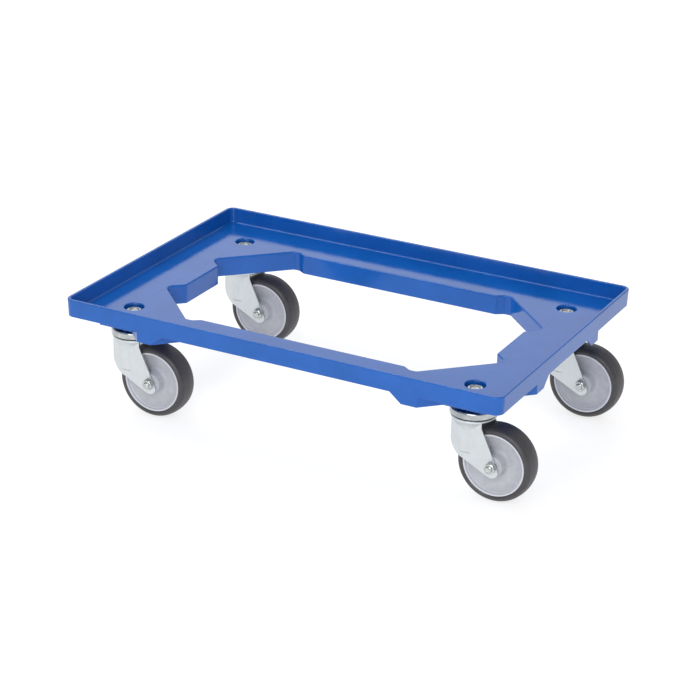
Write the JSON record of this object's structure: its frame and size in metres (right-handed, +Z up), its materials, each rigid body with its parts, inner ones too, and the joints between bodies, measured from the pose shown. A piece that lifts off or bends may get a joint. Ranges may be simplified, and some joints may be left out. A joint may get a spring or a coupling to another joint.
{
  "type": "open-deck transport dolly",
  "caption": "Low open-deck transport dolly: a blue plastic tray frame with a raised rim and a large centre opening, carried on swivel castors with grey wheels.",
  "frame": {"origin": "on the floor, under the centre of the deck", "axes": "+X along the deck's length, towards the side that the castors trail to at rest; +Y along its width, away from the axle nuts; +Z up"},
  "size_m": [0.641, 0.42, 0.166],
  "materials": {
    "deck_plastic": "glossy moulded blue plastic",
    "zinc_steel": "bright zinc-plated pressed steel, satin",
    "zinc_fastener": "bright zinc-plated",
    "ball_steel": "polished bearing steel",
    "wheel_plastic": "satin moulded light grey plastic",
    "tyre_rubber": "satin dark grey thermoplastic rubber"
  },
  "bodies": {
    "deck_frame": {"deck": "deck_plastic", "fixing_bolts": "zinc_fastener", "fixing_washers": "zinc_fastener", "fixing_nuts": "zinc_fastener", "race_cap_front_left": "zinc_steel", "race_cap_front_right": "zinc_steel", "race_cap_rear_left": "zinc_steel", "race_cap_rear_right": "zinc_steel", "race_stem_front_left": "zinc_steel", "race_stem_front_right": "zinc_steel", "race_stem_rear_left": "zinc_steel", "race_stem_rear_right": "zinc_steel", "upper_balls_front_left": "ball_steel", "upper_balls_front_right": "ball_steel", "upper_balls_rear_left": "ball_steel", "upper_balls_rear_right": "ball_steel", "lower_balls_front_left": "ball_steel", "lower_balls_front_right": "ball_steel", "lower_balls_rear_left": "ball_steel", "lower_balls_rear_right": "ball_steel"},
    "swivel_front_left": {"fork_front_left": "zinc_steel", "axle_sleeve_front_left": "ball_steel", "axle_bolt_front_left": "zinc_fastener", "axle_nut_front_left": "zinc_fastener"},
    "wheel_front_left": {"wheel_centre_front_left": "wheel_plastic", "tyre_front_left": "tyre_rubber"},
    "swivel_front_right": {"fork_front_right": "zinc_steel", "axle_sleeve_front_right": "ball_steel", "axle_bolt_front_right": "zinc_fastener", "axle_nut_front_right": "zinc_fastener"},
    "wheel_front_right": {"wheel_centre_front_right": "wheel_plastic", "tyre_front_right": "tyre_rubber"},
    "swivel_rear_left": {"fork_rear_left": "zinc_steel", "axle_sleeve_rear_left": "ball_steel", "axle_bolt_rear_left": "zinc_fastener", "axle_nut_rear_left": "zinc_fastener"},
    "wheel_rear_left": {"wheel_centre_rear_left": "wheel_plastic", "tyre_rear_left": "tyre_rubber"},
    "swivel_rear_right": {"fork_rear_right": "zinc_steel", "axle_sleeve_rear_right": "ball_steel", "axle_bolt_rear_right": "zinc_fastener", "axle_nut_rear_right": "zinc_fastener"},
    "wheel_rear_right": {"wheel_centre_rear_right": "wheel_plastic", "tyre_rear_right": "tyre_rubber"}
  },
  "joints": [
    {"name": "swivel_front_left", "type": "hinge", "parent": "deck_frame", "child": "swivel_front_left", "pos_m": [-0.246, -0.143, 0.11], "axis": [0, 0, 1], "continuous": true},
    {"name": "roll_front_left", "type": "hinge", "parent": "swivel_front_left", "child": "wheel_front_left", "pos_m": [-0.211, -0.143, 0.05], "axis": [0, 1, 0], "continuous": true},
    {"name": "swivel_front_right", "type": "hinge", "parent": "deck_frame", "child": "swivel_front_right", "pos_m": [0.246, -0.143, 0.11], "axis": [0, 0, 1], "continuous": true},
    {"name": "roll_front_right", "type": "hinge", "parent": "swivel_front_right", "child": "wheel_front_right", "pos_m": [0.281, -0.143, 0.05], "axis": [0, 1, 0], "continuous": true},
    {"name": "swivel_rear_left", "type": "hinge", "parent": "deck_frame", "child": "swivel_rear_left", "pos_m": [-0.246, 0.143, 0.11], "axis": [0, 0, 1], "continuous": true},
    {"name": "roll_rear_left", "type": "hinge", "parent": "swivel_rear_left", "child": "wheel_rear_left", "pos_m": [-0.211, 0.143, 0.05], "axis": [0, 1, 0], "continuous": true},
    {"name": "swivel_rear_right", "type": "hinge", "parent": "deck_frame", "child": "swivel_rear_right", "pos_m": [0.246, 0.143, 0.11], "axis": [0, 0, 1], "continuous": true},
    {"name": "roll_rear_right", "type": "hinge", "parent": "swivel_rear_right", "child": "wheel_rear_right", "pos_m": [0.281, 0.143, 0.05], "axis": [0, 1, 0], "continuous": true}
  ]
}
